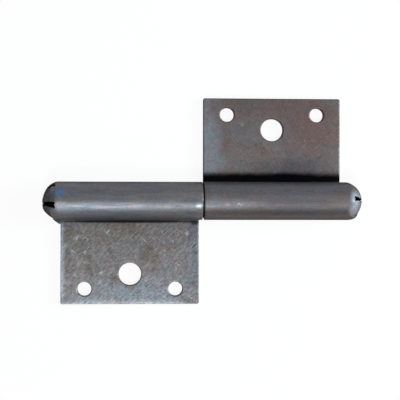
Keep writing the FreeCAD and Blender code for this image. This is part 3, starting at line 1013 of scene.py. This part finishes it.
# Painted shade in the hollow of each dome, the bore's end and the walls of the notches.
LEFT_DOME_SHADE, RIGHT_DOME_SHADE = (
    Patch((x, 0, 6.55), (4.4, reach, reach), SHADE_BLACK, 0.97, 0.9, 0.03)
    for x, reach in ((-49.6, 6.3), (50, 6.1))
)
FIXED_FINISH = SteelFinish(
    "fixed_leaf_steel_finish", seed=3, stain=(0.145, 0.122, 0.104), falling_share=0.28,
    grain_depth=0.42, scratch_turns=(-38, -52, 40), scratch_amount=1,
    patches=(
        Patch((-25, 0, 7.6), (34, 7.6, 7), (0.16, 0.172, 0.198), 0.8, 0.7),
        # Painted highlight: two lighter patches on the knuckle's bright line, the second towards
        # the dome.
        Patch((-37, -2.4, 11.5), (13, 3, 4), (0.192, 0.206, 0.234), 0.8, 0.5),
        Patch((-47, -2.4, 11.5), (6.5, 3.2, 4), (0.236, 0.258, 0.29), 0.9, 0.5),
        # Painted shade that dims the knuckle's highlight short of the gap.
        Patch((-5.5, -2.2, 12.5), (10, 3.2, 3), (0.12, 0.13, 0.145), 0.6, 0.3),
        # Painted shade on the dome's end, which faces away from the lamps.
        Patch((-53.8, 0, 6.5), (3.6, 9, 9), (0.07, 0.072, 0.08), 0.75, 0.7, 0.05),
        Patch((-25, -11.5, 2.5), (27, 6.5, 4), (0.18, 0.16, 0.15), 0.5, 0.2),
        # Lighter and bluer towards the leaf's outer edge.
        Patch((-25.2, -33.5, 2.5), (34, 10, 4), (0.235, 0.268, 0.3), 0.85, 0.1),
        Patch((-44, -24, 2.5), (9, 22, 4), (0.245, 0.25, 0.25), 0.6, 0.1),
        # Painted highlight on the rolled-over left edge of the leaf.
        Patch((-49.6, -22, 1.5), (2.9, 26, 4), (0.36, 0.405, 0.44), 0.9, 0.4),
        Patch((-49.1, -22, 1.8), (1, 22, 3), (0.48, 0.53, 0.56), 0.9, 0.5),
        # Painted highlight on the rolled-over outer edge of the leaf.
        Patch((-27, -35.9, 1.8), (32, 2.2, 2), (0.35, 0.385, 0.405), 0.9, 0.4),
        Patch((-3.8, -11.5, 2.5), (2.8, 5.5, 3), (0.11, 0.11, 0.125), 0.5, 0.2),
        # Painted reflection: a blue sheen on the top of the dome's base.
        Patch((-45, 2.8, 12), (7, 2.6, 4), (0.165, 0.185, 0.235), 0.6, 0.2),
        Patch((-49, 3, 12), (3, 2.7, 4), (0.13, 0.22, 0.39), 0.9, 0.25),
        # Painted highlight: a hot spot on the knuckle's bright line next to the gap.
        Patch((-1.6, -1.7, 12.9), (1.7, 1.3, 1.5), (0.44, 0.47, 0.49), 0.8, 0.1),
    ),
    painted_shade=(
        # Painted shade in the crease where the leaf meets the knuckle, also at its two ends.
        Patch((-25.2, -7.1, 2.5), (40, 0.85, 2), SHADE_BLACK, 0.93, 0.3, 0.04),
        Patch((-50.4, -6.9, 2.5), (2.6, 1.5, 2.5), (0.045, 0.048, 0.05), 0.8, 0.4),
        Patch((-2.6, -7.5, 2.5), (1.8, 1.2, 2), (0.02, 0.022, 0.022), 0.85, 0.3),
        GAP_SHADE,
        LEFT_DOME_SHADE,
        # Painted shade in the open notch's tip, between the petals.
        Patch((-54.2, -1, 8.3), (1.3, 0.75, 2.6), SHADE_BLACK, 0.95, 0.7, 0),
    ),
    scuffs=tuple(
        Patch((x, y, 2.5), (reach, reach, 3), WHITE, 1, 0.3)
        for x, y, reach in (
            (-43.6, -13, 1.7), (-40.4, -13.4, 1.2), (-44.6, -17.5, 1.5), (-43, -21.6, 1.6),
            (-43.9, -25.7, 1.5), (-35.2, -25, 1.1), (-35.6, -28.2, 1.5), (-44.6, -32.3, 1.6),
            (-42.1, -33.3, 1.8), (-19.9, -26.8, 1.5), (-13.7, -10.9, 1.3), (-8.9, -23, 1.4),
            (-5.5, -11.3, 1.2), (-32.9, -10.6, 1.2), (-28.8, -16.1, 1.2), (-40.5, -18, 1.3),
        )
    ),
)
LIFT_OFF_FINISH = SteelFinish(
    # Darker, browner steel than the fixed half: partly its own finish, partly painted shade for
    # this knuckle's dimmer highlight.
    "lift_off_leaf_steel_finish", seed=21, steel=(0.168, 0.152, 0.15),
    stain=(0.142, 0.114, 0.104), film=(0.15, 0.155, 0.172), smooth=0.52, rough=0.64,
    grain_depth=0.16, scratch_amount=0.8, scattered=0.45,
    patches=(
        Patch((27, 1.5, 9.5), (36, 6.5, 5), (0.15, 0.155, 0.18), 0.75, 0.6),
        # Painted light on the knuckle's flank on the leaf's side.
        Patch((24, 4.6, 10.8), (42, 2.8, 3.2), (0.19, 0.196, 0.226), 0.75, 0.3),
        # Painted highlight on the knuckle's bright line near the gap.
        Patch((5, -1, 12.6), (18, 3.6, 3), (0.205, 0.215, 0.24), 0.75, 0.2),
        # Painted shade under the knuckle's highlight, which narrows it and moves it up.
        Patch((27, -3.1, 11), (50, 2.5, 3.6), (0.078, 0.074, 0.076), 0.75, 0.3, 0.08),
        # Painted shade that dims the knuckle's highlight towards the dome.
        Patch((34, -1.4, 12.6), (18, 3, 3), (0.106, 0.103, 0.108), 0.7, 0.4),
        # Painted light on the dome's facets that face the side lamp.
        Patch((52.4, -0.8, 10.5), (3.5, 6.2, 7), (0.262, 0.288, 0.322), 0.9, 0.55, 0.05),
        # Darker and browner towards the leaf's outer edge.
        Patch((24, 34.5, 2.5), (34, 11, 4), (0.125, 0.096, 0.092), 0.6, 0.1),
        Patch((1, 19, 2.5), (8, 24, 4), (0.215, 0.238, 0.262), 0.85, 0.2),
        Patch((38, 25, 2.5), (15, 14, 4), (0.152, 0.1, 0.092), 0.65, 0.2),
        # Dark spots on the leaf just beyond the painted shadow of the knuckle.
        Patch((35, 11, 2.5), (15, 7, 4), (0.06, 0.066, 0.08), 0.58, 0),
        Patch((23, 9.5, 2.5), (12, 8, 4), (0.06, 0.062, 0.07), 0.48, 0.1),
        # Painted shade that dims a hot spot on top of the dome.
        Patch((50.6, 0.1, 12.6), (1.9, 2.6, 2.5), (0.15, 0.165, 0.188), 0.9, 0.3),
        # Painted light on the lower side of the dome.
        Patch((51.2, -3.4, 11), (2.4, 2.6, 3.5), (0.37, 0.39, 0.41), 0.7, 0.3),
    ),
    painted_shade=(
        # Painted shadow of the knuckle, cast on the leaf along its root.
        Patch((24.3, 7.7, 2.5), (60, 2.8, 2.5), (0.002, 0.002, 0.003), 0.98, 0.38, 0.1),
        GAP_SHADE,
        RIGHT_DOME_SHADE,
        # Painted shade in the open notch's tip, between the petals.
        Patch((54.3, 0.1, 8.3), (1.25, 0.9, 2.6), SHADE_BLACK, 0.95, 0.75, 0),
    ),
    scuffs=(
        Patch((13.3, 27, 2.5), (1.7, 1.7, 3), WHITE, 0.95, 0.3),
        Patch((7.7, -1.3, 13), (1.6, 1, 1.5), WHITE, 0.9, 0.3),
        Patch((12, -1.3, 13), (1.6, 1, 1.5), WHITE, 0.9, 0.3),
    ),
)
PIN_FINISH = SteelFinish(
    "pin_steel_finish", seed=8, steel=(0.34, 0.34, 0.345), smooth=0.26, rough=0.38,
    stain_amount=0.3, grain_depth=0.1, scratch_turns=(88, 92),
)
# Near-black steel: a burnished washer, darkened further as painted shade in the gap between the
# knuckles.
WASHER_FINISH = SteelFinish(
    "washer_steel_finish", seed=15, steel=(0.03, 0.03, 0.032), stain=(0.02, 0.018, 0.016),
    film=(0.03, 0.033, 0.038), smooth=0.45, rough=0.6,
)


@dataclass(frozen=True)
class Lamp:
    """One round soft lamp: its place and width in metres and its power in watts."""

    name: str
    place: Triple
    width: float
    power: float
    colour: Triple

    def hang(self) -> None:
        """Hang the lamp, turned to the hinge."""
        data = bpy.data.lights.new(self.name, "AREA")
        data.shape = "DISK"
        data.size = self.width
        data.energy = self.power
        data.color = self.colour
        lamp = bpy.data.objects.new(self.name, data)
        lamp.location = self.place
        lamp.rotation_euler = (-Vector(self.place)).to_track_quat("-Z", "Y").to_euler()
        bpy.context.collection.objects.link(lamp)


@dataclass
class Studio:
    """Camera, lamps and floor of the picture, in metres and degrees."""

    eye: Triple = (-0.0201697, -0.0010369, 0.3504582)
    turn: Triple = (0.21775, -3.18031, 0.09661)
    lens: float = 90.1295
    lamps: tuple[Lamp, ...] = (
        Lamp("key_lamp", (0.0, -0.50, 0.82), 0.20, 5.1, (0.97, 0.985, 1.0)),
        Lamp("fill_lamp", (-0.1, 0.80, 0.42), 0.5, 0.45, (0.93, 0.96, 1.0)),
        Lamp("top_lamp", (0.05, 0.42, 0.85), 0.5, 0.9, (1.0, 0.985, 0.96)),
        Lamp("side_lamp", (0.75, 0.08, 0.42), 0.4, 8.5, (0.88, 0.94, 1.0)),
    )
    floor_size: float = 4.0
    floor_drop: float = 0.00002
    floor_glow: float = 0.92

    def build(self) -> None:
        """Set up the camera, the lamps, the world and the floor."""
        self.set_camera()
        for lamp in self.lamps:
            lamp.hang()
        self.set_world()
        self.lay_floor()

    def set_camera(self) -> None:
        """Put the camera over the hinge, at the angle of the photograph."""
        data = bpy.data.cameras.new("camera")
        data.lens = self.lens
        data.sensor_width = 36.0
        camera = bpy.data.objects.new("camera", data)
        camera.location = self.eye
        camera.rotation_euler = [math.radians(angle) for angle in self.turn]
        bpy.context.collection.objects.link(camera)
        bpy.context.scene.camera = camera

    def set_world(self) -> None:
        """Light from all round, pale near the horizon and dark straight above."""
        world = bpy.data.worlds.new("studio")
        bpy.context.scene.world = world
        board = Board(world)
        sky = board.add("TexCoord").outputs["Generated"]
        height = board.add("SeparateXYZ", {0: sky}).outputs[2]
        light = board.add("Background", {
            "Color": (0.96, 0.98, 1.0, 1.0),
            "Strength": board.span(height, 0.50, 0.97, 0.24, 0.02),
        })
        board.finish("OutputWorld", light)

    def lay_floor(self) -> None:
        """Lay the pale floor under the leaves, bright to the camera and in mirrors."""
        bpy.ops.mesh.primitive_plane_add(size=self.floor_size, location=(0, 0, -self.floor_drop))
        floor = take_new("floor")
        material = bpy.data.materials.new("pale_floor")
        board = Board(material)
        paper = board.add("BsdfDiffuse", {"Color": (0.8, 0.8, 0.8, 1.0)})
        glow = board.add("Emission", {"Color": (1.0, 1.0, 1.0, 1.0)})
        path = board.add("LightPath").outputs
        mirrored = board.math("MAXIMUM", path["Is Glossy Ray"], path["Is Transmission Ray"])
        seen = board.math("MAXIMUM", path["Is Camera Ray"], mirrored)
        amount = board.times(seen, self.floor_glow)
        mix = board.add("MixShader", {0: amount, 1: paper.outputs[0], 2: glow.outputs[0]})
        board.finish("OutputMaterial", mix)
        floor.data.materials.append(material)


def dress(piece: Piece, body: str, node: str, finish: SteelFinish) -> None:
    """Give a piece its finish and let it stand for its node.

    Args:
        piece: The modelled piece.
        body: Body that it moves with.
        node: Node of the frame that it stands for.
        finish: Finish of its steel.
    """
    piece.data.materials.clear()
    piece.data.materials.append(finish.make())
    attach(piece, body)
    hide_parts(node)
    LOG.info("%s: %d faces, stands for %s", piece.name, len(piece.data.polygons), node)


def main() -> None:
    """Build the hinge piece by piece, then the studio round it."""
    logging.basicConfig(level=logging.INFO, format="%(message)s")
    bpy.context.scene.view_settings.view_transform = "Standard"

    fixed = RolledLeaf(
        "rolled_fixed_leaf", Half.FIXED, setback=0.95, leaf_length=47.9, hole_middle=24.9,
        screw_margin=5.25, middle_margin=10.4, web_length=2.6, notch_turn=13.6,
        notch_depth=4.8, notch_foot_width=2.3, notch_tip_width=1.2, far_side_push=-0.12,
        tip_shift=0.8,
    ).build()
    dress(fixed, "fixed_half", "fixed_leaf", FIXED_FINISH)
    lifting = RolledLeaf(
        "rolled_lift_off_leaf", Half.LIFT_OFF, setback=0.0, leaf_length=48.0, hole_middle=24.05,
        screw_margin=5.7, middle_margin=10.95, notch_turn=9.1, notch_depth=3.3,
        notch_foot_width=1.9, notch_tip_width=0.45, closed_foot_width=1.1, leaf_side_push=-0.8,
        far_side_push=1.0,
    ).build()
    dress(lifting, "lift_off_half", "lift_off_leaf", LIFT_OFF_FINISH)
    dress(HingePin().build(), "fixed_half", "pin", PIN_FINISH)
    dress(ThrustWasher().build(), "washer", "thrust_washer", WASHER_FINISH)
    Studio().build()


if __name__ == "__main__":
    main()
